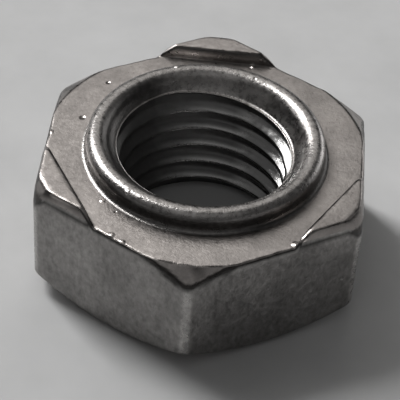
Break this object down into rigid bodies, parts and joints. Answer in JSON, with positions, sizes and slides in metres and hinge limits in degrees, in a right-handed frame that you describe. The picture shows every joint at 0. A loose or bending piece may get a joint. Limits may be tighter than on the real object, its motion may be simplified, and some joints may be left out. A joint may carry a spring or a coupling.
{
  "type": "hex weld nut",
  "caption": "Hexagonal projection weld nut with a raised pilot collar round its threaded bore and corner projections for welding.",
  "frame": {"origin": "centre of the plain bearing face", "axes": "+Z along the thread axis, from the bearing face towards the weld face and its collar; a plain corner of the hexagon points to -Y"},
  "size_m": [0.014, 0.016, 0.0063],
  "materials": {
    "bare_steel": "cold formed and turned, bare and lightly oiled, satin"
  },
  "bodies": {
    "root": {"weld_nut": "bare_steel"}
  },
  "joints": []
}
